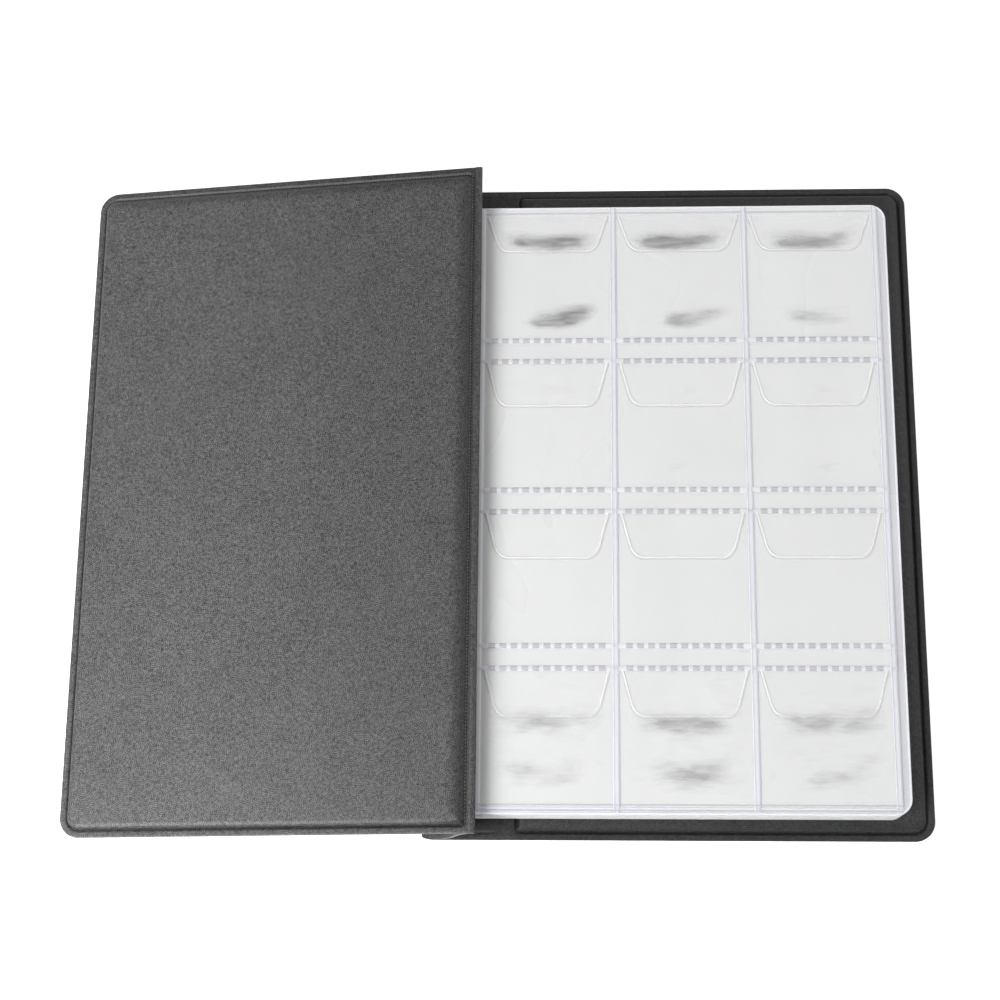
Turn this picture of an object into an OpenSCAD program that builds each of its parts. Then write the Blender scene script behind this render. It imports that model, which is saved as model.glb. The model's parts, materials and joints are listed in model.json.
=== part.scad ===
// Coin album, lying open: the front cover is turned over to the left and the leaves lie on the back
// cover. Each cover is a board sealed between an outer skin and a lining, and the soft spine between
// them folds twice. Ten clear leaves hold 12 coins each, in pockets closed by tuck-in flaps.

/* [Cover] */
// Height of the covers, from bottom edge to top edge
cover_height = 172; // [150:1:220]
// Width of the back cover, from the spine crease to the fore edge
back_width = 125; // [121:1:150]
// Width of the front cover, from the raised fold to the fore edge
front_width = 103.4; // [95:0.1:115]
// Radius of the outer corners
cover_corner = 5; // [2:0.5:8]
// Thickness of the outer skin, and of the lining
skin = 0.4; // [0.3:0.1:0.6]
// Thickness of the sealed board
board = 1.2; // [0.8:0.1:2]
// Flat lip outside the seal around each board
lip = 2; // [1.5:0.5:4]

/* [Spine] */
// Width of the soft gutter between the spine crease and the back board
gutter = 23; // [20:0.5:26]
// Distance of the raised fold from the spine crease, sideways
fold_x = 12.2; // [12:0.1:13.5]
// Gap between the leaves at rest and the line of the raised fold
fold_rise = 4; // [3.6:0.1:5]

/* [Leaves] */
// Number of leaves in the album
leaf_count = 10; // [9:1:10]
// Distance from one leaf to the next
leaf_pitch = 1; // [1:0.02:1.1]
// Width of a leaf
leaf_width = 105; // [90:1:106]
// Height of a leaf
leaf_height = 157.5; // [156:0.5:164]
// Drop of the leaves towards the bottom edge of the cover
leaf_drop = 2.2; // [0:0.1:3]
// Thickness of each clear film
film = 0.2; // [0.15:0.01:0.2]

/* [Pockets] */
// Pockets side by side on a leaf
columns = 3; // [2:1:4]
// Pockets above each other on a leaf
rows = 4; // [3:1:5]
// Width of a welded seam
seam = 1.6; // [1:0.1:2]
// Bare strip of backing between two rows of pockets
row_gap = 5.6; // [4:0.1:7]
// Margin of the leaf outside the last seam, at the fore edge
fore_margin = 2.2; // [1:0.1:3]
// How far a tuck-in flap reaches down into its pocket
flap_depth = 12; // [8:0.5:15]

/* [Hidden] */
// Roundness of the cover corners and of the crease beads
$fn = 64;
// Film corners are cut as short straight facets
film_facets = 12;
film_corner = 4;
flap_corner = 3;
// Half the thickness of the doubled skin, which is also the radius of a crease
crease = skin;
// Bare stretch that each crease needs on the side that turns
crease_gap = 1.4;
// The board starts this far from the raised fold
fold_lip = 2.2;
// Height of the lining's inner face above the doubled skin's middle
panel_face = board + skin;
board_play = 0.1;
board_corner = 3;
// Air between the back lining and the last leaf
leaf_air = 0.2;
leaf_x = fold_x + 0.8;
leaf_thickness = 4 * film;
block_bottom = crease + panel_face + leaf_air;
block_top = block_bottom + (leaf_count - 1) * leaf_pitch + leaf_thickness;
fold_z = block_top + fold_rise;
// The spine strip leans from the spine crease up to the raised fold
strip_rise = fold_z - crease;
strip_length = sqrt(pow(fold_x, 2) + pow(strip_rise, 2));
strip_lean = atan2(strip_rise, fold_x);
// The front cover slopes down until the edge of its outer skin lies on the table
front_slope = asin(fold_z / sqrt(pow(front_width, 2) + pow(skin, 2))) - atan(skin / front_width);
// The origin is under the middle of the open album
left_edge = fold_x - front_width * cos(front_slope) - skin * sin(front_slope);
middle_x = (left_edge + back_width) / 2;
// The binding is an L of film, with its foot welded to the gutter and its wall beside the leaves
binding_film = 0.4;
binding_foot = 10;
binding_gap = 0.9;
binding_inset = 6;
// Pocket layout, measured from the top left corner of a leaf
column_pitch = (leaf_width - seam - fore_margin) / columns;
top_margin = 2.2;
bottom_margin = 2;
row_pitch = (leaf_height - top_margin - bottom_margin + row_gap) / rows;
pocket_height = row_pitch - row_gap;
flap_bar = 1.2;
pocket_mouth = 0.4;
flap_side = 0.5;
flap_taper = 3.2;

vinyl = "#26272a";
vinyl_inside = "#3a3b3e";
card = "#b9a684";
clear = "#e4e8ea";
clear_flap = "#d3dade";

LEAF_PIECES = ["backing", "pockets", "flaps"];

function two_digits(n) = str(n < 10 ? "0" : "", n);
function leaf_node(n, piece) = str("leaf_", two_digits(n), "_", piece);

// ---- Frames ----

// From the spine crease to the origin under the middle of the open album
module album() {
    translate([-middle_x, 0, 0]) children();
}

// The back cover lies flat, with its outer skin on the table
module back_frame() {
    album() translate([0, 0, crease]) children();
}

// The spine strip runs up from the spine crease, with its outer skin on the upper side
module spine_frame() {
    album() translate([0, 0, crease]) rotate([0, -strip_lean, 0]) children();
}

// The front cover hangs from the raised fold, turned over so that its lining faces up
module front_frame() {
    album() translate([fold_x, 0, fold_z]) rotate([0, -180 - front_slope, 0]) mirror([0, 0, 1]) children();
}

// Leaf 1 is the top one
module leaf_frame(n) {
    album() translate([leaf_x, -leaf_drop, block_bottom + (leaf_count - n) * leaf_pitch]) children();
}

// ---- Outlines ----

// Rectangle from x0 to x1, centred on y, with round corners at x1
module fore_edge_outline(x0, x1, height, r) {
    translate([x0, -height / 2]) square([x1 - x0 - r, height]);
    translate([x0, r - height / 2]) square([x1 - x0, height - 2 * r]);
    for (side = [-1, 1]) translate([x1 - r, side * (height / 2 - r)]) circle(r);
}

// Rectangle from x0 to x1, centred on y, with four round corners
module board_outline(x0, x1, height, r) {
    translate([x0 + r, -height / 2]) square([x1 - x0 - 2 * r, height]);
    translate([x0, r - height / 2]) square([x1 - x0, height - 2 * r]);
    for (x = [x0 + r, x1 - r]) for (side = [-1, 1]) translate([x, side * (height / 2 - r)]) circle(r);
}

// ---- Cover ----

module skin_sheet(start, width) {
    translate([0, 0, -skin]) linear_extrude(skin) fore_edge_outline(start, width, cover_height, cover_corner);
}

// Lining: flat on the outer skin at its lip, raised over the board like a shallow tray
module lining_sheet(start, board_start, width) {
    tray_height = cover_height - 2 * lip;
    difference() {
        union() {
            linear_extrude(skin) fore_edge_outline(start, width, cover_height, cover_corner);
            linear_extrude(panel_face) board_outline(board_start, width - lip, tray_height, board_corner + skin);
        }
        translate([0, 0, -skin]) linear_extrude(skin + board)
            board_outline(board_start + skin, width - lip - skin, tray_height - 2 * skin, board_corner);
    }
}

module board_sheet(board_start, width) {
    inset = skin + board_play;
    linear_extrude(board)
        board_outline(board_start + inset, width - lip - inset, cover_height - 2 * (lip + inset), board_corner);
}

module crease_bead() {
    rotate([90, 0, 0]) cylinder(r = crease, h = cover_height, center = true);
}

module back_skin() {
    color(vinyl) back_frame() {
        skin_sheet(0, back_width);
        crease_bead();
    }
}

module back_board() {
    color(card) back_frame() board_sheet(gutter, back_width);
}

module back_lining() {
    color(vinyl_inside) back_frame() lining_sheet(crease, gutter, back_width);
}

module spine_skin() {
    color(vinyl) spine_frame() {
        translate([crease_gap, -cover_height / 2, 0]) cube([strip_length - crease_gap, cover_height, skin]);
        translate([strip_length, 0, 0]) crease_bead();
    }
}

module spine_lining() {
    color(vinyl_inside) spine_frame() translate([crease_gap, -cover_height / 2, -skin])
        cube([strip_length - crease_gap - crease, cover_height, skin]);
}

module front_skin() {
    color(vinyl) front_frame() skin_sheet(crease_gap, front_width);
}

module front_board() {
    color(card) front_frame() board_sheet(fold_lip, front_width);
}

module front_lining() {
    color(vinyl_inside) front_frame() lining_sheet(crease_gap, fold_lip, front_width);
}

// ---- Leaves ----

// Film that the leaves are welded to: a foot on the gutter and a wall beside the leaf edges
module leaf_binding() {
    wall_x = leaf_x - binding_gap - binding_film;
    length = leaf_height - 2 * binding_inset;
    foot_z = crease + skin;
    wall_height = block_top - leaf_thickness - leaf_air - foot_z;
    color(clear) album() translate([0, -leaf_drop - length / 2, foot_z]) {
        translate([wall_x - binding_foot, 0, 0]) cube([binding_foot + binding_film, length, binding_film]);
        translate([wall_x, 0, 0]) cube([binding_film, length, wall_height]);
    }
}

module leaf_outline() {
    fore_edge_outline(0, leaf_width, leaf_height, film_corner, $fn = film_facets);
}

function row_top(row) = leaf_height / 2 - top_margin - row * row_pitch;
function seam_x(column) = seam / 2 + column * column_pitch;

module leaf_backing(n) {
    color(clear) leaf_frame(n) linear_extrude(film) leaf_outline();
}

// Pocket fronts: one strip of film per row, on seams that stand on the backing
module leaf_pockets(n) {
    mouth = flap_bar + pocket_mouth;
    front_height = pocket_height - mouth + bottom_margin;
    seam_height = 2 * film;
    color(clear) leaf_frame(n) for (row = [0 : rows - 1]) {
        strip_bottom = row_top(row) - pocket_height - bottom_margin;
        translate([0, 0, film + seam_height]) linear_extrude(film) intersection() {
            leaf_outline();
            translate([0, strip_bottom]) square([leaf_width, front_height]);
        }
        translate([0, 0, film]) linear_extrude(seam_height) intersection() {
            leaf_outline();
            union() {
                translate([0, strip_bottom]) square([leaf_width, seam + bottom_margin / 2]);
                for (column = [0 : columns])
                    translate([seam_x(column) - seam / 2, strip_bottom]) square([seam, front_height]);
            }
        }
    }
}

// Flap tongue below its bar: straight sides that taper to round lower corners
module flap_tongue(width) {
    bottom = width - 2 * flap_taper;
    straight = flap_depth - flap_corner;
    polygon([
        [-width / 2, 0],
        [width / 2, 0],
        [bottom / 2, -straight],
        [bottom / 2 - flap_corner, -flap_depth],
        [flap_corner - bottom / 2, -flap_depth],
        [-bottom / 2, -straight]
    ]);
    for (side = [-1, 1]) translate([side * (bottom / 2 - flap_corner), -straight])
        circle(flap_corner, $fn = film_facets);
}

// Tuck-in flaps: a bar welded to the backing above each row, with one tongue per pocket
module leaf_flaps(n) {
    tongue = column_pitch - seam - 2 * flap_side;
    tongue_air = film / 2;
    color(clear_flap) leaf_frame(n) translate([0, 0, film]) for (row = [0 : rows - 1]) {
        translate([0, row_top(row) - flap_bar, 0]) cube([leaf_width - film_corner, flap_bar, 2 * film]);
        translate([0, row_top(row) - flap_bar / 2, tongue_air]) linear_extrude(film)
            for (column = [0 : columns - 1])
                translate([seam_x(column) + column_pitch / 2, 0]) flap_tongue(tongue);
    }
}

back_skin();
back_board();
back_lining();
spine_skin();
spine_lining();
front_skin();
front_board();
front_lining();
leaf_binding();
for (n = [1 : leaf_count]) {
    leaf_backing(n);
    leaf_pockets(n);
    leaf_flaps(n);
}
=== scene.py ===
"""Coin album, lying open: sealed vinyl covers, a soft folded spine and ten clear pocket leaves."""
import json
import math

import bpy
import numpy as np
from mathutils import Matrix, Vector

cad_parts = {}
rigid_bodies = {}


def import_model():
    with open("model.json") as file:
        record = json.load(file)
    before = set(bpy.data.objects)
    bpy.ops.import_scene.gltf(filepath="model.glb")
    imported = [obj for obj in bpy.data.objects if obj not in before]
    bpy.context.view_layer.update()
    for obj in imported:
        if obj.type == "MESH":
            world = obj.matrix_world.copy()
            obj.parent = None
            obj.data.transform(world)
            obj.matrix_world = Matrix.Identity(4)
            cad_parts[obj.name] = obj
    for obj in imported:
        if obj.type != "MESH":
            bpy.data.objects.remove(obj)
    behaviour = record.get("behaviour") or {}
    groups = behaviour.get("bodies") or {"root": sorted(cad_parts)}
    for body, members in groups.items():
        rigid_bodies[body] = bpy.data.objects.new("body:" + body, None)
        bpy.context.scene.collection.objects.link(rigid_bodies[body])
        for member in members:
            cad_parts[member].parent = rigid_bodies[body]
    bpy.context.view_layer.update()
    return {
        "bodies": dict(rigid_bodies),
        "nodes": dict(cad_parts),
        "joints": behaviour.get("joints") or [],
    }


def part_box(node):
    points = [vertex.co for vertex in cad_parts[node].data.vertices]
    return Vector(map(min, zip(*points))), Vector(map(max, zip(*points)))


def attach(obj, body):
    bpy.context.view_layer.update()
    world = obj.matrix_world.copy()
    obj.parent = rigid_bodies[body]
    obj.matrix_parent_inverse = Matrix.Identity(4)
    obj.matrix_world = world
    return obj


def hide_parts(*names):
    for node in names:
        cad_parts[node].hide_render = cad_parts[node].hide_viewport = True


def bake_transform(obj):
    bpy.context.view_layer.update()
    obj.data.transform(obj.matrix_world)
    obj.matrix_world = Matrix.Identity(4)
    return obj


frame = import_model()

MM = 0.001

# ---- Sizes of the covers and the spine, in millimetres ----

SKIN = 0.4
LIP = 1.8
WELD_CORNER = 3.4
SPINE_CORNER = 1.2
COVER_CORNER = 5.0
GUTTER = 23.0
SPINE_PANEL_END = 20.0
PANEL_FACE = 1.6
PANEL_PAD = 0.10
GROOVE_WIDTH = 0.26
FOLD_WELD = 0.9
FOLD_BULGE = 1.2

# The spine strip sags between its creases. Over the leaves, |y| < SAG_SIDE, it sags less.
STRIP_SAG = 2.4
SAG_SIDE = 76.0
SAG_BLEND = 5.0

# Pads pressed into the front cover's weld, where the lining is drawn tight over the board.
WELD_PAD = (0.26, 0.30)
WELD_PAD_LEVELS = (0.05, 0.30)
WELD_PAD_PITCH = 0.85
WELD_PAD_DRAWN = 0.8

# Painted shade: the front lining is painted darker towards the fold.
FOLD_SHADE = 0.30
FOLD_SHADE_REACH = 80.0

# Grid steps of the covers: at the welds, beside them, and over the panels.
FINE = 0.2
MEDIUM = 0.8
COARSE = 2.6

# ---- Sizes of the leaves, in millimetres ----

COLUMNS = 3
ROWS = 4
SEAM = 1.6
ROW_GAP = 5.6
TOP_MARGIN = 2.2
BOTTOM_MARGIN = 2.0
FORE_MARGIN = 2.2
FLAP_BAR = 1.2
FLAP_DEPTH = 12.0
FLAP_TAPER = 3.2
FLAP_CORNER = 3.0
FLAP_SIDE = 0.5
FIRST_FLAP_SHARE = 0.8
# The painted highlight along a flap's edge and the painted shadow under it: inset, width, foot, crest,
# material number.
FLAP_EDGES = ((0.25, 0.50, 0.36, 0.47, 1), (-0.25, 0.36, 0.27, 0.40, 2))
MOUTH_GAP = 0.4
FILM_CORNER = 4.0
FILM = 0.14
WEB_LOOP = 1.25
WEB_FOOT = 0.1
WEB_INSET = 0.4

# Welds of a leaf: their widths, and as LEVELS the heights of their foot and top above the plane of the leaf.
ROW_WELD = 1.2
ROW_LEVELS = (0.40, 0.50)
SEAM_LEVELS = (0.36, 0.50)
SEAM_LINE = 0.30
SEAM_LINE_LEVELS = (0.46, 0.58)
KNURL_PITCH = 2.7
KNURL_PAD = (1.8, 1.25)
KNURL_LEVELS = (0.46, 0.62)

# How much the pocket film of each row bends and carries grey painted reflections, from the top row down, the
# even painted reflection over the last row, and how loose the film is on the top leaf.
ROW_BENDS_AND_REFLECTIONS = (1.25, 0.42, 0.24, 0.62)
LAST_ROW_PAINTED_REFLECTION = 0.30
TOP_LEAF_SLACK = 1.9


def joint(name):
    return next(j for j in frame["joints"] if j["name"] == name)


class Plane:
    """A flat frame across the album: s runs away from the crease, y along it, h towards the inner side."""

    def __init__(self, x, z, angle, inner):
        self.x, self.z = x, z
        self.along = (math.cos(angle), math.sin(angle))
        self.up = (-inner * math.sin(angle), inner * math.cos(angle))

    def points(self, s, y, h):
        x = self.x + s * self.along[0] + h * self.up[0]
        z = self.z + s * self.along[1] + h * self.up[1]
        return np.stack([x, y, z], -1).reshape(-1, 3) * MM


CREASE_X, _, CREASE_Z = (v / MM for v in joint("spine_fold")["pos_m"])
FOLD_X, _, FOLD_Z = (v / MM for v in joint("cover_fold")["pos_m"])
STRIP = math.hypot(FOLD_X - CREASE_X, FOLD_Z - CREASE_Z)
LEAN = math.atan2(FOLD_Z - CREASE_Z, FOLD_X - CREASE_X)
COVER_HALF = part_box("back_skin")[1].y / MM
BACK_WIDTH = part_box("back_skin")[1].x / MM - CREASE_X
FREE_EDGE_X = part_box("front_skin")[0].x / MM
FRONT_WIDTH = math.hypot(FREE_EDGE_X - FOLD_X, FOLD_Z - SKIN)
SLOPE = math.atan2(FOLD_Z - SKIN, FOLD_X - FREE_EDGE_X)

BACK_PLANE = Plane(CREASE_X, CREASE_Z, 0, 1)
SPINE_PLANE = Plane(CREASE_X, CREASE_Z, LEAN, -1)
FRONT_PLANE = Plane(FOLD_X, FOLD_Z, math.pi + SLOPE, -1)

LEAVES = sorted(b for b in frame["bodies"] if b.startswith("leaf_"))
LEAF_LOW, LEAF_HIGH = (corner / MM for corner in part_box("leaf_01_backing"))
LEAF_WIDTH = LEAF_HIGH.x - LEAF_LOW.x
LEAF_HALF = (LEAF_HIGH.y - LEAF_LOW.y) / 2
LEAF_MIDDLE = (LEAF_HIGH.y + LEAF_LOW.y) / 2
COLUMN_PITCH = (LEAF_WIDTH - SEAM - FORE_MARGIN) / COLUMNS
ROW_PITCH = (2 * LEAF_HALF - TOP_MARGIN - BOTTOM_MARGIN + ROW_GAP) / ROWS
POCKET_HEIGHT = ROW_PITCH - ROW_GAP


def link_object(name, data):
    made = bpy.data.objects.new(name, data)
    bpy.context.scene.collection.objects.link(made)
    return made


# ---- Shaders ----


class Shader:
    """A node material around one Principled shader."""

    def __init__(self, name, sockets):
        self.material = bpy.data.materials.new(name)
        self.material.use_nodes = True
        self.tree = self.material.node_tree
        self.surface = self.tree.nodes["Principled BSDF"]
        self.place = self.tree.nodes.new("ShaderNodeTexCoord").outputs["Object"]
        for socket, value in sockets.items():
            self.surface.inputs[socket].default_value = value

    def node(self, kind, **settings):
        made = self.tree.nodes.new("ShaderNode" + kind)
        for name, value in settings.items():
            setattr(made, name, value)
        return made

    def link(self, source, target):
        self.tree.links.new(source, target)

    def noise(self, scale, detail=2.0, roughness=0.5, distortion=0.0, stretch=(1, 1, 1)):
        mapping = self.node("Mapping")
        mapping.inputs["Scale"].default_value = stretch
        self.link(self.place, mapping.inputs["Vector"])
        made = self.node("TexNoise")
        self.link(mapping.outputs["Vector"], made.inputs["Vector"])
        made.inputs["Scale"].default_value = scale
        made.inputs["Detail"].default_value = detail
        made.inputs["Roughness"].default_value = roughness
        made.inputs["Distortion"].default_value = distortion
        return made.outputs["Fac"]

    def ripples(self, scale, frequency, order):
        """Short runs of parallel waves, whose direction changes slowly over the surface."""
        made = self.node("TexGabor", gabor_type="2D")
        self.link(self.place, made.inputs["Vector"])
        made.inputs["Scale"].default_value = scale
        made.inputs["Frequency"].default_value = frequency
        made.inputs["Anisotropy"].default_value = order
        self.link(self.spread(self.noise(45, detail=1), -4.0, 4.0), made.inputs["Orientation"])
        return made.outputs["Value"]

    def math(self, operation, a, b):
        made = self.node("Math", operation=operation)
        for value, socket in zip((a, b), made.inputs):
            if isinstance(value, (int, float)):
                socket.default_value = value
            else:
                self.link(value, socket)
        return made.outputs["Value"]

    def ramp(self, value, stops):
        made = self.node("ValToRGB")
        made.color_ramp.elements[0].position = stops[0][0]
        made.color_ramp.elements[1].position = stops[-1][0]
        made.color_ramp.elements[0].color = (*stops[0][1], 1)
        made.color_ramp.elements[1].color = (*stops[-1][1], 1)
        for position, colour in stops[1:-1]:
            made.color_ramp.elements.new(position).color = (*colour, 1)
        self.link(value, made.inputs["Fac"])
        return made.outputs["Color"]

    def spread(self, value, low, high):
        made = self.node("MapRange")
        made.inputs["To Min"].default_value = low
        made.inputs["To Max"].default_value = high
        self.link(value, made.inputs["Value"])
        return made.outputs["Result"]

    def colour(self, value):
        self.link(value, self.surface.inputs["Base Color"])

    def roughness(self, value):
        self.link(value, self.surface.inputs["Roughness"])

    def alpha(self, value):
        self.link(value, self.surface.inputs["Alpha"])

    def bump(self, height, strength, depth):
        made = self.node("Bump")
        made.inputs["Strength"].default_value = strength
        made.inputs["Distance"].default_value = depth * MM
        self.link(height, made.inputs["Height"])
        if self.surface.inputs["Normal"].is_linked:
            self.link(self.surface.inputs["Normal"].links[0].from_socket, made.inputs["Normal"])
        self.link(made.outputs["Normal"], self.surface.inputs["Normal"])


def tones(dark, light):
    return [(0.28, (dark, dark, dark * 1.02)), (0.74, (light, light, light * 1.01))]


def leatherette(name, dark, light, gloss, grain=1.0):
    """Embossed vinyl: fine short ripples about half a millimetre apart, darkened by painted shade that a
    mesh attribute marks near the welds and towards the fold.
    """
    shader = Shader(name, {"Specular IOR Level": 0.45})
    ripples = shader.math("MULTIPLY", shader.ripples(620, 3.3, 0.15), 0.50)
    specks = shader.noise(1700, detail=1.5, roughness=0.6, distortion=0.8)
    ripples = shader.math("ADD", ripples, shader.math("MULTIPLY", specks, 0.50))
    patches = shader.noise(75, detail=3, roughness=0.55)
    mottle = shader.math("MULTIPLY", patches, 0.08)
    shade = shader.math("ADD", shader.math("MULTIPLY", ripples, 2.0 * grain), mottle)
    shade = shader.math("SUBTRACT", shade, 0.545 * grain)
    tone = shader.node("Mix", data_type="RGBA", blend_type="MULTIPLY")
    tone.inputs["Factor"].default_value = 1
    # Painted shade: a mesh attribute darkens the colour in the weld grooves, on the slopes beside the welds,
    # over the spine panel and towards the fold.
    painted_shade = shader.node("Attribute", attribute_name="painted_shade").outputs["Fac"]
    shader.link(shader.ramp(shade, tones(dark, light)), tone.inputs["A"])
    shader.link(shader.ramp(painted_shade, [(0.0, (1, 1, 1)), (1.0, (0.22, 0.22, 0.22))]), tone.inputs["B"])
    shader.colour(tone.outputs["Result"])
    shader.roughness(shader.spread(patches, gloss - 0.05, gloss + 0.07))
    shader.bump(ripples, 0.8, 0.12)
    shader.bump(patches, 0.3, 0.25)
    return shader.material


def card_board():
    shader = Shader("millboard", {"Roughness": 0.9})
    fibres = shader.noise(900, detail=5, stretch=(1, 3, 1))
    shader.colour(shader.ramp(fibres, [(0.3, (0.36, 0.29, 0.21)), (0.7, (0.52, 0.44, 0.33))]))
    shader.bump(fibres, 0.3, 0.1)
    return shader.material


def clear_film(name, alpha, tint, haze, gloss, reflection_colour=None):
    """Soft clear vinyl: milky, with slow waves, and with grey painted reflections where its mesh says that
    it bends.
    """
    shader = Shader(name, {"IOR": 1.5, "Specular IOR Level": 0.8})
    waves = shader.noise(38, detail=2, roughness=0.45, distortion=0.6, stretch=(1, 0.6, 1))
    colour = shader.ramp(waves, [(0.30, tuple(c * haze for c in tint)), (0.58, tint)])
    cover = shader.spread(waves, alpha * 1.1, alpha * 0.9)
    if reflection_colour:
        bend_and_reflection = shader.node("Attribute", attribute_name="bend_and_reflection").outputs["Fac"]
        reflection_streaks = shader.noise(230, detail=2, roughness=0.45, distortion=0.3, stretch=(0.55, 1.7, 1))
        reflection_patches = shader.noise(110, detail=1, distortion=0.3, stretch=(0.7, 1.5, 1))
        uneven = shader.math("SUBTRACT", shader.math("ADD", reflection_streaks, reflection_patches), 1.0)
        reflection_mask = shader.math("ADD", bend_and_reflection, shader.math("MULTIPLY", uneven, 1.3))
        reflection_mask = shader.math("MULTIPLY", shader.math("MULTIPLY", reflection_mask, 0.76), bend_and_reflection)
        reflection_mask = shader.ramp(reflection_mask, [(0.10, (0, 0, 0)), (0.95, (1, 1, 1))])
        reflection_breaks = shader.noise(520, detail=3, roughness=0.6, distortion=0.5, stretch=(0.30, 1.7, 1))
        broken = shader.ramp(reflection_breaks, [(0.36, (0.55, 0.55, 0.55)), (0.62, (1, 1, 1))])
        reflection_mask = shader.math("MULTIPLY", reflection_mask, broken)
        mix = shader.node("Mix", data_type="RGBA")
        shader.link(reflection_mask, mix.inputs["Factor"])
        shader.link(colour, mix.inputs["A"])
        mix.inputs["B"].default_value = (*reflection_colour, 1)
        colour = mix.outputs["Result"]
        cover = shader.math("ADD", cover, shader.math("MULTIPLY", reflection_mask, 0.6))
    shader.colour(colour)
    shader.roughness(shader.spread(waves, gloss, gloss + 0.12))
    shader.alpha(cover)
    shader.bump(waves, 0.6, 1.2)
    return shader.material


VINYL = leatherette("cover_leatherette", 0.010, 0.090, 0.44)
# The front and back linings are one vinyl: the next material is a lighter copy, painted light, for the front
# lining and the spine strip, and the one after it a darker copy, painted shade, for the back cover.
LIT_LINING = leatherette("lining_leatherette_painted_light", 0.018, 0.160, 0.44)
SHADED_LINING = leatherette("lining_leatherette_painted_shade", 0.012, 0.064, 0.46, grain=0.8)
# The weld pads are drawn in a lighter vinyl, as painted highlights on the knurl.
LIT_WELD_PADS = leatherette("weld_pads_painted_highlight", 0.13, 0.30, 0.30, grain=0.6)
CARD = card_board()
BACKING = clear_film("backing_film", 0.92, (0.735, 0.740, 0.740), 0.975, 0.22)
# The pocket film is painted grey where it bends, as painted reflections.
POCKET = clear_film("pocket_film", 0.05, (0.93, 0.935, 0.935), 0.95, 0.08, reflection_colour=(0.30, 0.30, 0.295))
FLAP = clear_film("flap_film", 0.02, (1.0, 1.0, 1.0), 0.97, 0.14)
SEAM_FILM = clear_film("welded_film", 0.5, (0.95, 0.955, 1.0), 0.97, 0.12)
MARGIN = clear_film("margin_film", 0.42, (0.84, 0.84, 0.88), 0.90, 0.14)
WEB_FILM = clear_film("web_film", 0.75, (0.95, 0.95, 0.97), 0.97, 0.2)
SEAM_SHADE = clear_film("seam_edge_film", 0.38, (0.70, 0.70, 0.79), 0.94, 0.12)
KNURL_FILM = clear_film("knurled_film", 0.36, (0.54, 0.54, 0.57), 0.90, 0.16)
# A whiter bead along each flap's edge, as a painted highlight, and a grey bead under it, as a painted
# shadow.
FLAP_HIGHLIGHT = clear_film("flap_edge_painted_highlight", 0.42, (1.0, 1.0, 1.0), 0.97, 0.10)
FLAP_SHADE = clear_film("flap_edge_painted_shadow", 0.12, (0.60, 0.60, 0.62), 0.92, 0.14)


# ---- Meshes ----


def lines(*stretches):
    """Grid lines: each stretch is (start, end, step), with its step fitted to a whole number."""
    made = []
    for start, end, step in stretches:
        count = max(1, round(abs(end - start) / step))
        made += list(np.linspace(start, end, count, endpoint=False))
    made.append(stretches[-1][1])
    return np.array(made)


def mirrored(side):
    """The grid lines of one half, and their mirror image before them."""
    return np.concatenate([-side[:0:-1], side])


def smooth(t):
    t = np.clip(t, 0, 1)
    return t * t * (3 - 2 * t)


def round_corner(s, y, corner_s, corner_y, toward_s, toward_y, radius):
    """Moves the grid points inside one corner square onto a quarter disc."""
    a = (s - (corner_s - toward_s * radius)) * toward_s / radius
    b = (y - (corner_y - toward_y * radius)) * toward_y / radius
    inside = (a > 0) & (b > 0)
    a, b = np.clip(a, 0, 1), np.clip(b, 0, 1)
    disc_s = a * np.sqrt(1 - b * b / 2)
    disc_y = b * np.sqrt(1 - a * a / 2)
    s = np.where(inside, corner_s + toward_s * radius * (disc_s - 1), s)
    y = np.where(inside, corner_y + toward_y * radius * (disc_y - 1), y)
    return s, y


def edge_distance(s, y, low_s, high_s, half_y, low_radius, high_radius):
    """Distance inside a rectangle with rounded ends: positive inside it, negative outside."""
    middle, half_s = (low_s + high_s) / 2, (high_s - low_s) / 2
    radius = np.where(s > middle, high_radius, low_radius)
    qs, qy = np.abs(s - middle) - half_s + radius, np.abs(y) - half_y + radius
    outside = np.hypot(np.maximum(qs, 0), np.maximum(qy, 0))
    return radius - outside - np.minimum(np.maximum(qs, qy), 0)


def sheet_faces(rows, columns):
    """Faces of a closed sheet, whose vertices are an upper grid and then a lower one."""
    below = rows * columns
    index = np.arange(below).reshape(rows, columns)

    def quads(grid):
        return np.stack([grid[:-1, :-1], grid[1:, :-1], grid[1:, 1:], grid[:-1, 1:]], -1).reshape(-1, 4)

    ring = np.concatenate([index[0, :-1], index[:-1, -1], index[-1, :0:-1], index[:0:-1, 0]])
    after = np.roll(ring, -1)
    walls = np.stack([ring, after, after + below, ring + below], -1)
    return np.concatenate([quads(index), quads(index + below)[:, ::-1], walls])


def closed_sheet(plane, s, y, low, high):
    """Vertices and faces of a closed sheet over a grid, between two heights."""
    return np.concatenate([plane.points(s, y, high), plane.points(s, y, low)]), sheet_faces(*s.shape)


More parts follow.
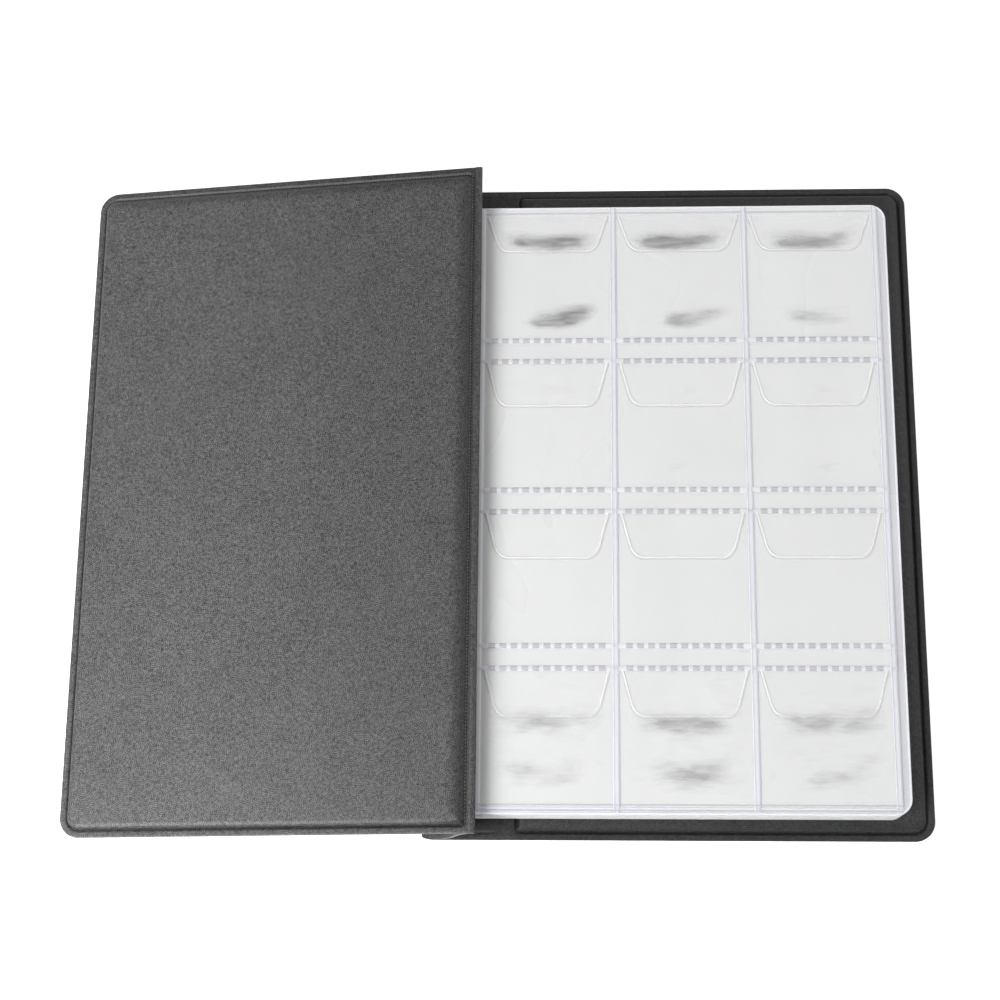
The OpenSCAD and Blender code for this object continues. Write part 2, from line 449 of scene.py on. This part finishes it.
def build(name, parts, materials, sharp=40, mark="bend_and_reflection"):
    """One object from (vertices, faces, material number or numbers, marks) parts, with outward faces."""
    vertices, faces, numbers, marks = [], [], [], []
    for points, quads, number, *marked in parts:
        faces += (np.asarray(quads) + sum(len(v) for v in vertices)).tolist()
        vertices.append(points)
        numbers += np.broadcast_to(number, len(quads)).tolist()
        marks += marked[0].tolist() if marked else [0.0] * len(points)
    mesh = bpy.data.meshes.new(name)
    mesh.from_pydata(np.concatenate(vertices).tolist(), [], faces)
    mesh.attributes.new(mark, "FLOAT", "POINT").data.foreach_set("value", marks)
    for material in materials:
        mesh.materials.append(material)
    mesh.polygons.foreach_set("material_index", numbers)
    made = link_object(name, mesh)
    bpy.context.view_layer.objects.active = made
    bpy.ops.object.mode_set(mode="EDIT")
    bpy.ops.mesh.select_all(action="SELECT")
    bpy.ops.mesh.normals_make_consistent(inside=False)
    bpy.ops.object.mode_set(mode="OBJECT")
    mesh.shade_smooth()
    mesh.set_sharp_from_angle(angle=math.radians(sharp))
    return made


def pads(plane, places, size, low, high):
    """Small knurl pads with sloped sides, at (s, y) places."""
    signs = np.array([(-1, -1), (1, -1), (1, 1), (-1, 1)])
    shape = [(0, 1, 2, 3), (7, 6, 5, 4), (0, 4, 5, 1), (1, 5, 6, 2), (2, 6, 7, 3), (3, 7, 4, 0)]
    vertices, faces = [], []
    for number, (s, y) in enumerate(places):
        for height, grow in ((high, 0.65), (low, 1.0)):
            corner = signs * np.array(size) / 2 * grow
            vertices.append(plane.points(s + corner[:, 0], y + corner[:, 1], np.full(4, height)))
        faces += [[8 * number + i for i in face] for face in shape]
    return np.concatenate(vertices), np.array(faces)


# ---- Covers ----


def weld_groove(distance, depth=0.32):
    """Depth of the groove that a weld presses, at a distance from its middle."""
    return depth * np.exp(-((distance / GROOVE_WIDTH) ** 2))


def pillow(distance, rise, reach):
    """The sealed board lifts the lining from the weld in a soft slope."""
    t = np.clip(distance / reach, 0, 1)
    return rise * np.sqrt(1 - (1 - t) ** 2) * smooth(t * 3)


def ripple(s, y, size, length):
    """Slow uneven waves over a sheet."""
    return size * (np.sin(s / length + 0.7 * np.sin(y / length * 0.6)) * np.cos(y / length * 0.8 + 1.3))


def toward_edge(start, edge):
    """Grid stretches from a start to an edge, which get finer beside the weld."""
    weld = edge - LIP
    return (start, weld - 9, COARSE), (weld - 9, weld - 4, MEDIUM), (weld - 4, edge, FINE)


def cover_grid(board_start, width):
    """Points of a cover panel, finer at its welds, with its fore corners rounded."""
    before = board_start - 1.2
    near = [(0, before, 0.6)] if before > 0 else []
    s = lines(*near, (max(0, before), board_start + 4, FINE), (board_start + 4, board_start + 9, MEDIUM),
              *toward_edge(board_start + 9, width))
    s, y = np.meshgrid(s, mirrored(lines(*toward_edge(0, COVER_HALF))), indexing="ij")
    for toward in (-1, 1):
        s, y = round_corner(s, y, width, toward * COVER_HALF, 1, toward, COVER_CORNER)
    return s, y


def stretch(s, y, board_start, width):
    """How far the lining is drawn over the board: 0 at the fore and bottom, 1 at the spine and top."""
    loose = np.minimum(width - LIP - s, y + COVER_HALF)
    drawn = np.minimum(s - board_start, COVER_HALF - y)
    return smooth(0.5 + (loose - drawn) / 10)


def painted_weld_shade(distance, drawn):
    """Painted shade near a weld, from 0 on the panel to 1 in the groove, in a wider band where the lining is
    drawn.
    """
    away = np.abs(distance)
    band = 1 - smooth((away - 0.8) / (1.2 + 2.6 * drawn))
    return (0.15 + 0.38 * drawn) * band + 0.5 * np.exp(-((away / 0.36) ** 2))


def panel_heights(s, y, board_start, width, drawn):
    """Inner and outer face of a cover panel about its middle, and the painted shade near its weld."""
    half = COVER_HALF - LIP
    inside = edge_distance(s, y, board_start, width - LIP, half, SPINE_CORNER, WELD_CORNER)
    rim = edge_distance(s, y, -50, width, COVER_HALF, COVER_CORNER, COVER_CORNER)
    edge = 0.25 * SKIN * (1 - smooth(rim / 0.25))
    inner = SKIN - edge + pillow(inside, PANEL_FACE - SKIN, 1.8 + 3.4 * drawn) - weld_groove(inside)
    inner += smooth(inside / 12) * (PANEL_PAD + ripple(s, y, 0.04, 17))
    outer = -SKIN * 0.75 + edge - pillow(inside, SKIN * 0.25, 3.0) + weld_groove(inside, depth=0.18)
    return inner, outer, painted_weld_shade(inside, drawn)


def weld_path(low_s, high_s, half_y, pitch):
    """Places at an even pitch along the weld round a board."""
    s, y = [], []
    corners = ((high_s, 1, WELD_CORNER), (low_s, 1, SPINE_CORNER),
               (low_s, -1, SPINE_CORNER), (high_s, -1, WELD_CORNER))
    for quarter, (end, side, radius) in enumerate(corners):
        turn = (quarter + np.linspace(0, 1, 9)) * math.pi / 2
        inward = -1 if end == high_s else 1
        s.append(end + inward * radius + radius * np.cos(turn))
        y.append(side * (half_y - radius) + radius * np.sin(turn))
    s, y = (np.append(np.concatenate(v), v[0][0]) for v in (s, y))
    run = np.concatenate([[0], np.cumsum(np.hypot(np.diff(s), np.diff(y)))])
    steps = np.arange(0, run[-1] - pitch / 2, pitch)
    return list(zip(np.interp(steps, run, s), np.interp(steps, run, y)))


def spine_panel_weld(s, y):
    """Weld of the soft spine panel, whose end lies in the gutter, and painted shade that darkens the panel
    inside the weld.
    """
    inside = edge_distance(s, y, -40, SPINE_PANEL_END, COVER_HALF - LIP, 3.0, 3.0)
    return weld_groove(inside, depth=0.16) - 0.10 * smooth(inside / 2.5), 0.6 * smooth(inside / 1.5 + 0.4)


def crease_trim(s):
    """The rounded ends of the soft spine at its crease, as a share of the cover's height."""
    t = np.clip(s / 2.6, 0, 1)
    return 1 - 1.4 / COVER_HALF * (1 - np.sqrt(1 - (1 - t) ** 2))


def cover_panel(body, plane, board_start, width, inner_vinyl, gutter):
    """Outer skin, lining, board and weld knurl of one cover."""
    s, y = cover_grid(board_start, width)
    drawn = np.full(s.shape, 0.3) if gutter else stretch(s, y, board_start, width)
    inner, outer, painted_shade = panel_heights(s, y, board_start, width, drawn)
    if gutter:
        groove, spine_panel_shade = spine_panel_weld(s, y)
        inner = inner - groove
        painted_shade = np.maximum(painted_shade, spine_panel_shade)
        y = y * crease_trim(s)
    else:
        # Painted shade, darker towards the fold.
        painted_shade = painted_shade + FOLD_SHADE * (1 - smooth(s / FOLD_SHADE_REACH))
    side = body.split("_")[0]
    join = np.zeros(s.shape)
    marks = np.tile(painted_shade.ravel(), 2)
    skin = build(f"{side}_cover_skin", [(*closed_sheet(plane, s, y, outer, join), 0, marks)],
                 [VINYL], mark="painted_shade")
    lining = build(f"{side}_cover_lining", [(*closed_sheet(plane, s, y, join, inner), 0, marks)],
                   [inner_vinyl], mark="painted_shade")
    pieces = [(skin, [f"{side}_skin"], "cover_vinyl"), (lining, [f"{side}_lining"], "lining_vinyl")]
    if not gutter:
        # Lighter pads along the weld, as painted highlights, where the lining is drawn tight.
        places = [p for p in weld_path(board_start, width - LIP, COVER_HALF - LIP, WELD_PAD_PITCH)
                  if stretch(*p, board_start, width) > WELD_PAD_DRAWN]
        knurl = build(f"{side}_weld_knurl", [(*pads(plane, places, WELD_PAD, *WELD_PAD_LEVELS), 0)], [LIT_WELD_PADS])
        pieces.append((knurl, [], "lining_vinyl"))
    board = board_piece(f"{side}_cover_board", plane, board_start, width)
    pieces.append((board, [f"{side}_board"], "board"))
    for piece, nodes, slot in pieces:
        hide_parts(*nodes)
        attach(piece, body)


def board_piece(name, plane, board_start, width):
    """The board inside: its edges are pressed thin, so that the skins close over it."""
    s = lines((board_start + 1.2, board_start + 7, 1), (board_start + 7, width - LIP - 7, 6),
              (width - LIP - 7, width - LIP - 1.2, 1))
    side = lines((0, COVER_HALF - LIP - 7, 6), (COVER_HALF - LIP - 7, COVER_HALF - LIP - 1.2, 1))
    s, y = np.meshgrid(s, mirrored(side), indexing="ij")
    inside = edge_distance(s, y, board_start, width - LIP, COVER_HALF - LIP, SPINE_CORNER, WELD_CORNER)
    top = pillow(np.maximum(inside, 0.2), PANEL_FACE - SKIN, 5.5) * 0.9
    return build(name, [(*closed_sheet(plane, s, y, np.full(s.shape, 0.01), top + 0.02), 0)], [CARD])


def spine_strip():
    """The soft spine between the two creases: skin on the outside, lining on the inside."""
    s = lines((0.35, 2, 0.25), (2, STRIP - 2, 0.7), (STRIP - 2, STRIP - 0.2, 0.25))
    side = lines((0, COVER_HALF - 12, 4), (COVER_HALF - 12, COVER_HALF - 5, 1),
                 (COVER_HALF - 5, COVER_HALF, FINE))
    s, y = np.meshgrid(s, mirrored(side), indexing="ij")
    along = s / STRIP
    over_leaves = smooth((along - 0.08) / 0.34) * smooth((0.84 - along) / 0.42)
    at_ends = smooth(along / 0.26) * smooth((0.86 - along) / 0.5)
    beyond = smooth((np.abs(y) - SAG_SIDE) / SAG_BLEND)
    bow = STRIP_SAG * (over_leaves + (at_ends - over_leaves) * beyond)
    inside = COVER_HALF - LIP - np.abs(y)
    groove = weld_groove(inside, depth=0.14)
    # Painted shade near the strip's welds.
    marks = np.tile(painted_weld_shade(inside, 0.3).ravel(), 2)
    y = y * crease_trim(s)
    layers = (("skin", "cover_vinyl", VINYL, bow - SKIN + groove, bow),
              ("lining", "lining_vinyl", LIT_LINING, bow, bow + SKIN - groove))
    for part, slot, material, low, high in layers:
        sheet = closed_sheet(SPINE_PLANE, s, y, low, high)
        piece = build(f"spine_strip_{part}", [(*sheet, 0, marks)], [material], mark="painted_shade")
        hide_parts(f"spine_{part}")
        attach(piece, "spine")


def crease_roll(name, body, x, z, inset, bulge, lean):
    """The bend of the doubled skin: a soft ridge along a crease, which bulges towards its lean."""
    turns, steps = 20, 24
    angle = np.linspace(0, 2 * math.pi, turns, endpoint=False)
    y = np.linspace(-1, 1, steps) * (COVER_HALF - inset)
    uneven = 1 + 0.04 * np.sin(y[:, None] / 9 + 3 * np.cos(angle))
    out = uneven * (SKIN + bulge / 2) * np.cos(angle) + bulge / 2
    up = uneven * (SKIN + bulge / 12) * np.sin(angle)
    across = x + out * math.cos(lean) - up * math.sin(lean)
    level = z + out * math.sin(lean) + up * math.cos(lean)
    points = np.stack([across, np.broadcast_to(y[:, None], up.shape), level], -1).reshape(-1, 3) * MM
    index = np.arange(turns * steps).reshape(steps, turns)
    around = np.roll(index, -1, 1)
    faces = np.stack([index[:-1], around[:-1], around[1:], index[1:]], -1).reshape(-1, 4).tolist()
    caps = [index[0][::-1].tolist(), index[-1].tolist()]
    mesh = bpy.data.meshes.new(name)
    mesh.from_pydata(points.tolist(), [], faces + caps)
    mesh.materials.append(VINYL)
    mesh.shade_smooth()
    mesh.set_sharp_from_angle(angle=math.radians(40))
    roll = link_object(name, mesh)
    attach(roll, body)


def covers():
    cover_panel("back_cover", BACK_PLANE, GUTTER, BACK_WIDTH, SHADED_LINING, gutter=True)
    cover_panel("front_cover", FRONT_PLANE, FOLD_WELD, FRONT_WIDTH, LIT_LINING, gutter=False)
    spine_strip()
    crease_roll("spine_crease", "back_cover", CREASE_X, CREASE_Z, 1.4, 0.0, 0.0)
    crease_roll("fold_crease", "spine", FOLD_X, FOLD_Z, 0.0, FOLD_BULGE, SLOPE)


# ---- Leaves ----


def row_top(row):
    return LEAF_HALF - TOP_MARGIN - row * ROW_PITCH


def seam_at(column):
    return SEAM / 2 + column * COLUMN_PITCH


def leaf_plane(leaf):
    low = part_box(f"{leaf}_backing")[0] / MM
    return Plane(low.x, low.z, 0, 1)


def ribbon(plane, s, y, width, low, high):
    """A raised weld line of even width along a path, with sloped sides."""
    run_s, run_y = np.gradient(s), np.gradient(y)
    length = np.hypot(run_s, run_y)
    out_s, out_y = run_y / length, -run_s / length
    section = [(-0.5, low), (-0.3, high), (0.3, high), (0.5, low)]
    vertices = np.concatenate([plane.points(s + k * width * out_s, y + k * width * out_y + LEAF_MIDDLE,
                                            np.full(s.shape, h)) for k, h in section])
    count = len(s)
    index = np.arange(4 * count).reshape(4, count)
    before, after = index[:, :-1], index[:, 1:]
    faces = [np.stack([before[i], after[i], after[(i + 1) % 4], before[(i + 1) % 4]], -1) for i in range(4)]
    faces += [index[:, :1].T, index[::-1, -1:].T]
    return vertices, np.concatenate(faces)


def backing_film(plane, phase):
    """The leaf's own film, clearer in its fore margin."""
    s = lines((0, 4, 1), (4, LEAF_WIDTH - 4, 4), (LEAF_WIDTH - 4, LEAF_WIDTH - FORE_MARGIN, 0.6),
              (LEAF_WIDTH - FORE_MARGIN, LEAF_WIDTH, 0.4))
    side = lines((0, LEAF_HALF - 4, 5), (LEAF_HALF - 4, LEAF_HALF, 0.5))
    s, y = np.meshgrid(s, mirrored(side), indexing="ij")
    margin = (s[:-1, :-1] + s[1:, 1:]).ravel() / 2 > LEAF_WIDTH - FORE_MARGIN
    for toward in (-1, 1):
        s, y = round_corner(s, y, LEAF_WIDTH, toward * LEAF_HALF, 1, toward, FILM_CORNER)
    wave = 0.03 + ripple(s + phase, y, 0.025, 8)
    vertices, faces = closed_sheet(plane, s, y + LEAF_MIDDLE, wave, wave + FILM)
    numbers = np.zeros(len(faces), int)
    numbers[:2 * len(margin)] = np.tile(margin, 2)
    return [(vertices, faces, numbers)]


def bends_and_reflections(s, y, row, phase):
    """Where the loose pocket film bends, under each flap and above each lower weld; the same amount sets the
    grey painted reflections on it.
    """
    last = row == ROWS - 1
    total = np.zeros(s.shape)
    for column in range(COLUMNS):
        chance = [0.5 + 0.5 * math.sin(k * 12.9 + column * 7.1 + row * 3.7 + phase) for k in range(6)]
        middle = seam_at(column) + COLUMN_PITCH / 2
        upper = row_top(row) - FLAP_DEPTH * (1.20 if last else 0.66)
        lower = row_top(row) - POCKET_HEIGHT + (7.5 if last else 5.0)
        upper_tilt, upper_weight = 0.12 * (chance[1] - 0.5), 0.80 + 0.25 * chance[2]
        lower_tilt, lower_weight = 0.5 * (chance[4] - 0.6), 0.50 + 0.5 * chance[5]
        for place, level, tilt, half, tall, weight in (
                (middle - 1 + 2 * chance[0], upper, upper_tilt, 12.5, 3.1, upper_weight),
                (middle - 3 + 7 * chance[3], lower, lower_tilt, 9.5, 3.3, lower_weight)):
            u = (s - place) * math.cos(tilt) + (y - level) * math.sin(tilt)
            v = (y - level) * math.cos(tilt) - (s - place) * math.sin(tilt) - 0.12 * u * u / half
            fade = 1 - 0.3 * u / half * (chance[0] - 0.3)
            total += ROW_BENDS_AND_REFLECTIONS[row] * weight * fade * np.exp(-((u / half) ** 4) - (v / tall) ** 2)
    return total + (LAST_ROW_PAINTED_REFLECTION if last else 0.0)


def pocket_film(plane, phase, slack):
    """Pocket fronts: each row is one film, welded at its seams and loose at its mouth."""
    seams = [seam_at(column) for column in range(COLUMNS + 1)]
    near = np.array([-3.4, -2.2, -1.4, -0.8, 0, 0.8, 1.4, 2.2, 3.4])
    corner = np.linspace(LEAF_WIDTH - FILM_CORNER, LEAF_WIDTH, 9)
    s = np.concatenate([[0], corner, *(seam + near for seam in seams),
                        *(np.linspace(a + 3.4, b - 3.4, 15)[1:-1] for a, b in zip(seams, seams[1:]))])
    s = np.unique(np.round(s[(s >= 0) & (s <= LEAF_WIDTH)], 3))
    parts = []
    for row in range(ROWS):
        low = row_top(row) - POCKET_HEIGHT - BOTTOM_MARGIN
        high = row_top(row) - FLAP_BAR - MOUTH_GAP
        y = lines((low, low + 2.6, 0.65), (low + 2.6, low + 14, 0.9), (low + 14, high - 14, 1.5),
                  (high - 14, high, 0.9))
        gs, gy = np.meshgrid(s, y, indexing="ij")
        off = np.min([np.abs(gs - seam) for seam in seams], axis=0)
        if row == ROWS - 1:
            gs, gy = round_corner(gs, gy, LEAF_WIDTH, low, 1, -1, FILM_CORNER)
        loose = smooth((off - SEAM / 2) / 2.6) * smooth((gy - low - 2.4) / 3.5)
        bend_and_reflection = bends_and_reflections(gs, gy, row, phase) * loose
        wave = (ripple(gs + phase + 13 * row, gy, 0.05, 5.5) + 0.10 * bend_and_reflection) * loose * slack
        height = 0.34 + 0.30 * loose + wave
        sheet = closed_sheet(plane, gs, gy + LEAF_MIDDLE, height - FILM / 2, height + FILM / 2)
        # The bend amount also goes to the mesh, where it sets the grey painted reflections.
        parts.append((*sheet, 0, np.tile(bend_and_reflection.ravel(), 2)))
    return parts


def knurl_row(plane, y):
    """One dotted weld line across the pockets, broken at the vertical seams."""
    places = []
    for column in range(COLUMNS):
        count = int((COLUMN_PITCH - SEAM) / KNURL_PITCH)
        first = seam_at(column) + (COLUMN_PITCH - (count - 1) * KNURL_PITCH) / 2
        places += [(first + i * KNURL_PITCH, y + LEAF_MIDDLE) for i in range(count)]
    return pads(plane, places, KNURL_PAD, *KNURL_LEVELS)


def weld_lines(plane):
    """Every weld of a leaf: double lines down the seams, dotted rows, and plain lines round the edge."""
    parts = []
    path = np.linspace(-LEAF_HALF + 0.5, LEAF_HALF - 0.5, 30)
    for column in range(COLUMNS + 1):
        middle = np.full(path.shape, seam_at(column))
        parts.append((*ribbon(plane, middle, path, SEAM, *SEAM_LEVELS), 0))
        for side in (-0.5, 0.5) if column else ():
            parts.append((*ribbon(plane, middle + side, path, SEAM_LINE, *SEAM_LINE_LEVELS), 1))
    across = np.linspace(0.3, LEAF_WIDTH - FORE_MARGIN, 30)
    level = np.ones(across.shape)
    for row in range(ROWS):
        foot = row_top(row) - POCKET_HEIGHT - ROW_WELD / 2
        bar = row_top(row) - FLAP_BAR / 2
        if row:
            parts.append((*ribbon(plane, across, level * bar, FLAP_BAR, *ROW_LEVELS), 0))
            parts.append((*knurl_row(plane, bar), 2))
        if row < ROWS - 1:
            parts.append((*ribbon(plane, across, level * foot, ROW_WELD, *ROW_LEVELS), 0))
            parts.append((*knurl_row(plane, foot), 2))
    outline_s, outline_y = leaf_outline(0.3)
    parts.append((*ribbon(plane, outline_s, outline_y, 0.45, 0.34, 0.50), 0))
    parts.append((*ribbon(plane, across, level * (LEAF_HALF - 1.8), 0.35, 0.36, 0.48), 1))
    for inset, number in ((0.95, 1), (1.55, 0), (2.3, 1)):
        parts.append((*ribbon(plane, across, level * (inset - LEAF_HALF), 0.4, 0.36, 0.50), number))
    return parts


def leaf_outline(inset):
    """A line that follows the top, fore edge and bottom of a leaf."""
    radius = FILM_CORNER - inset
    right, top = LEAF_WIDTH - inset, LEAF_HALF - inset
    turn = np.linspace(0, math.pi / 2, 9)
    corner_s, corner_y = right - radius + radius * np.sin(turn), top - radius + radius * np.cos(turn)
    straight = np.linspace(0.3, right - radius, 24)[:-1]
    rise = np.linspace(top - radius, -(top - radius), 24)[1:-1]
    fore, level = np.full(rise.shape, right), np.full(straight.shape, top)
    return (np.concatenate([straight, corner_s, fore, corner_s[::-1], straight[::-1]]),
            np.concatenate([level, corner_y, rise, -corner_y[::-1], -level]))


def flap_outline(width, inset):
    """The free edge of a flap, from its left end round to its right end."""
    half, depth, radius = width / 2 - inset, FLAP_DEPTH - inset, FLAP_CORNER
    turn = np.linspace(0, math.pi / 2, 7)
    left_a = np.concatenate([np.full(8, -half), -half + radius * (1 - np.cos(turn))])
    left_b = np.concatenate([np.linspace(0, -depth + radius, 9)[:-1], -depth + radius * (1 - np.sin(turn))])
    middle = np.linspace(-half + radius, half - radius, 10)[1:-1]
    a = np.concatenate([left_a, middle, -left_a[::-1]])
    b = np.concatenate([left_b, np.full(8, -depth), left_b[::-1]])
    return a * (1 + 2 * FLAP_TAPER / width * b / FLAP_DEPTH), b


def flap_film(plane):
    """Tuck-in flaps: rounded tongues that hang from a bar above each row, inside the pockets."""
    parts = []
    width = COLUMN_PITCH - SEAM - 2 * FLAP_SIDE
    for row in range(ROWS):
        top = row_top(row)
        share = FIRST_FLAP_SHARE if row == 0 else 1.0
        along = lines((0, LEAF_WIDTH - FILM_CORNER, 5))
        bar_s, bar_y = np.meshgrid(along, [top - FLAP_BAR, top], indexing="ij")
        low, high = np.full(bar_s.shape, 0.2), np.full(bar_s.shape, 0.4)
        parts.append((*closed_sheet(plane, bar_s, bar_y + LEAF_MIDDLE, low, high), 0))
        for column in range(COLUMNS):
            across = lines((-width / 2, -width / 2 + 5, 1), (-width / 2 + 5, width / 2 - 5, 3),
                           (width / 2 - 5, width / 2, 1))
            down = lines((0, -FLAP_DEPTH + 5, 1.8), (-FLAP_DEPTH + 5, -FLAP_DEPTH, 0.8))
            a, b = np.meshgrid(across, down, indexing="ij")
            for toward in (-1, 1):
                a, b = round_corner(a, b, toward * width / 2, -FLAP_DEPTH, toward, -1, FLAP_CORNER)
            a = a * (1 + 2 * FLAP_TAPER / width * b / FLAP_DEPTH)
            middle = seam_at(column) + COLUMN_PITCH / 2
            lift = 0.33 + 0.04 * smooth(-b / FLAP_DEPTH)
            start = top - FLAP_BAR / 2
            tongue_y = start + b * share + LEAF_MIDDLE
            parts.append((*closed_sheet(plane, middle + a, tongue_y, lift - 0.05, lift + 0.05), 0))
            # Each flap edge gets a painted highlight bead and a painted shadow bead.
            for inset, thickness, foot, crest, number in FLAP_EDGES:
                edge_a, edge_b = flap_outline(width, inset)
                edge = ribbon(plane, middle + edge_a, start + edge_b * share, thickness, foot, crest)
                parts.append((*edge, number))
    return parts


def leaf_web(leaf, plane, start_z):
    """Soft film that joins the spine edge of a leaf to the leaf below it, or to the binding."""
    end_z = plane.z + WEB_FOOT
    end_y = LEAF_HALF - WEB_INSET
    t, y = np.meshgrid(np.linspace(0, 1, 13), np.linspace(-end_y, end_y, 20), indexing="ij")
    bulge = WEB_LOOP * np.sin(math.pi * t) ** 0.6
    x = plane.x + 0.15 - bulge
    z = start_z + (end_z - start_z) * t
    sides = [np.stack([x + half, y + LEAF_MIDDLE, z], -1) for half in (FILM / 2, -FILM / 2)]
    vertices = np.concatenate(sides).reshape(-1, 3) * MM
    web = build(f"{leaf}_web", [(vertices, sheet_faces(*t.shape), 0)], [WEB_FILM])
    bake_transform(web)


def leaves():
    for number, leaf in enumerate(LEAVES):
        plane, phase = leaf_plane(leaf), 31 * number
        pockets = pocket_film(plane, phase, 1.0 if number else TOP_LEAF_SLACK)
        films = (("backing", backing_film(plane, phase), [BACKING, MARGIN], "clear_film"),
                 ("pockets", pockets, [POCKET], "clear_film"),
                 ("welds", weld_lines(plane), [SEAM_FILM, SEAM_SHADE, KNURL_FILM], "clear_film"),
                 ("flaps", flap_film(plane), [FLAP, FLAP_HIGHLIGHT, FLAP_SHADE], "flap_film"))
        for part, sheets, materials, slot in films:
            piece = build(f"{leaf}_{part}_film", sheets, materials, sharp=60)
            if f"{leaf}_{part}" in frame["nodes"]:
                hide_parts(f"{leaf}_{part}")
            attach(piece, leaf)
        last = number == len(LEAVES) - 1
        below = "back_cover" if last else LEAVES[number + 1]
        start_z = CREASE_Z + SKIN + 0.3 if last else leaf_plane(below).z + WEB_FOOT
        leaf_web(leaf, plane, start_z)
    binding = frame["nodes"]["leaf_binding"]
    binding.data.materials.clear()
    binding.data.materials.append(SEAM_FILM)


# ---- Studio ----

FLOOR_HALF = 12.0
FLOOR_GLOW = 0.62
SKY = ((0.05, 0.80), (0.22, 0.32))
KEY_LIGHT = ("key_softbox", (-0.41, -0.32, 0.50), 0.4, 6.2)
FILL_LIGHT = ("fill_softbox", (0.8, 0.5, 1.1), 1.2, 6.0)
TRANSPARENT_LAYERS = 24

CAMERA_ANGLES = (15.5, 2.4, -0.16)
CAMERA_FROM_CREASE = (39.55, -134.67, 487.21)
CAMERA_LENS = 71.0
CAMERA_SENSOR = 36.0


def studio():
    """A pale floor, a sky that is brighter at its horizon, and two soft boxes."""
    bpy.context.scene.view_settings.view_transform = "Standard"
    bpy.context.scene.cycles.transparent_max_bounces = TRANSPARENT_LAYERS
    white = Shader("studio_floor", {"Roughness": 0.9, "Emission Color": (1, 1, 1, 1),
                                    "Emission Strength": FLOOR_GLOW})
    white.colour(white.ramp(white.noise(3), [(0.3, (0.92, 0.92, 0.92)), (0.7, (0.94, 0.94, 0.94))]))
    mesh = bpy.data.meshes.new("floor")
    corners = [(x * FLOOR_HALF, y * FLOOR_HALF, 0) for x, y in ((-1, -1), (1, -1), (1, 1), (-1, 1))]
    mesh.from_pydata(corners, [], [(0, 1, 2, 3)])
    mesh.materials.append(white.material)
    floor = link_object("floor", mesh)
    world = bpy.data.worlds.new("studio")
    bpy.context.scene.world = world
    world.use_nodes = True
    nodes, links = world.node_tree.nodes, world.node_tree.links
    height = nodes.new("ShaderNodeSeparateXYZ")
    ramp = nodes.new("ShaderNodeValToRGB")
    links.new(nodes.new("ShaderNodeTexCoord").outputs["Generated"], height.inputs["Vector"])
    links.new(height.outputs["Z"], ramp.inputs["Fac"])
    links.new(ramp.outputs["Color"], nodes["Background"].inputs["Color"])
    for element, (position, level) in zip(ramp.color_ramp.elements, SKY):
        element.position = position
        element.color = (level, level, level, 1)
    area_light(*KEY_LIGHT)
    area_light(*FILL_LIGHT)


def area_light(name, place, size, power):
    light = bpy.data.lights.new(name, "AREA")
    light.shape = "SQUARE"
    light.size = size
    light.energy = power
    lamp = link_object(name, light)
    lamp.location = place
    lamp.rotation_euler = (-Vector(place)).to_track_quat("-Z", "Y").to_euler()


def camera():
    """Looks down at the open album from its lower edge, a little to the left of straight on."""
    tilt, pan, roll = (math.radians(angle) for angle in CAMERA_ANGLES)
    data = bpy.data.cameras.new("camera")
    data.lens = CAMERA_LENS
    data.sensor_width = CAMERA_SENSOR
    data.clip_start = 0.01
    made = link_object("camera", data)
    turn = Matrix.Rotation(tilt, 4, "X") @ Matrix.Rotation(pan, 4, "Y") @ Matrix.Rotation(roll, 4, "Z")
    place = Vector((CREASE_X, 0, CREASE_Z)) + Vector(CAMERA_FROM_CREASE)
    made.matrix_world = Matrix.Translation(place * MM) @ turn
    bpy.context.scene.camera = made


camera()
studio()
covers()
leaves()
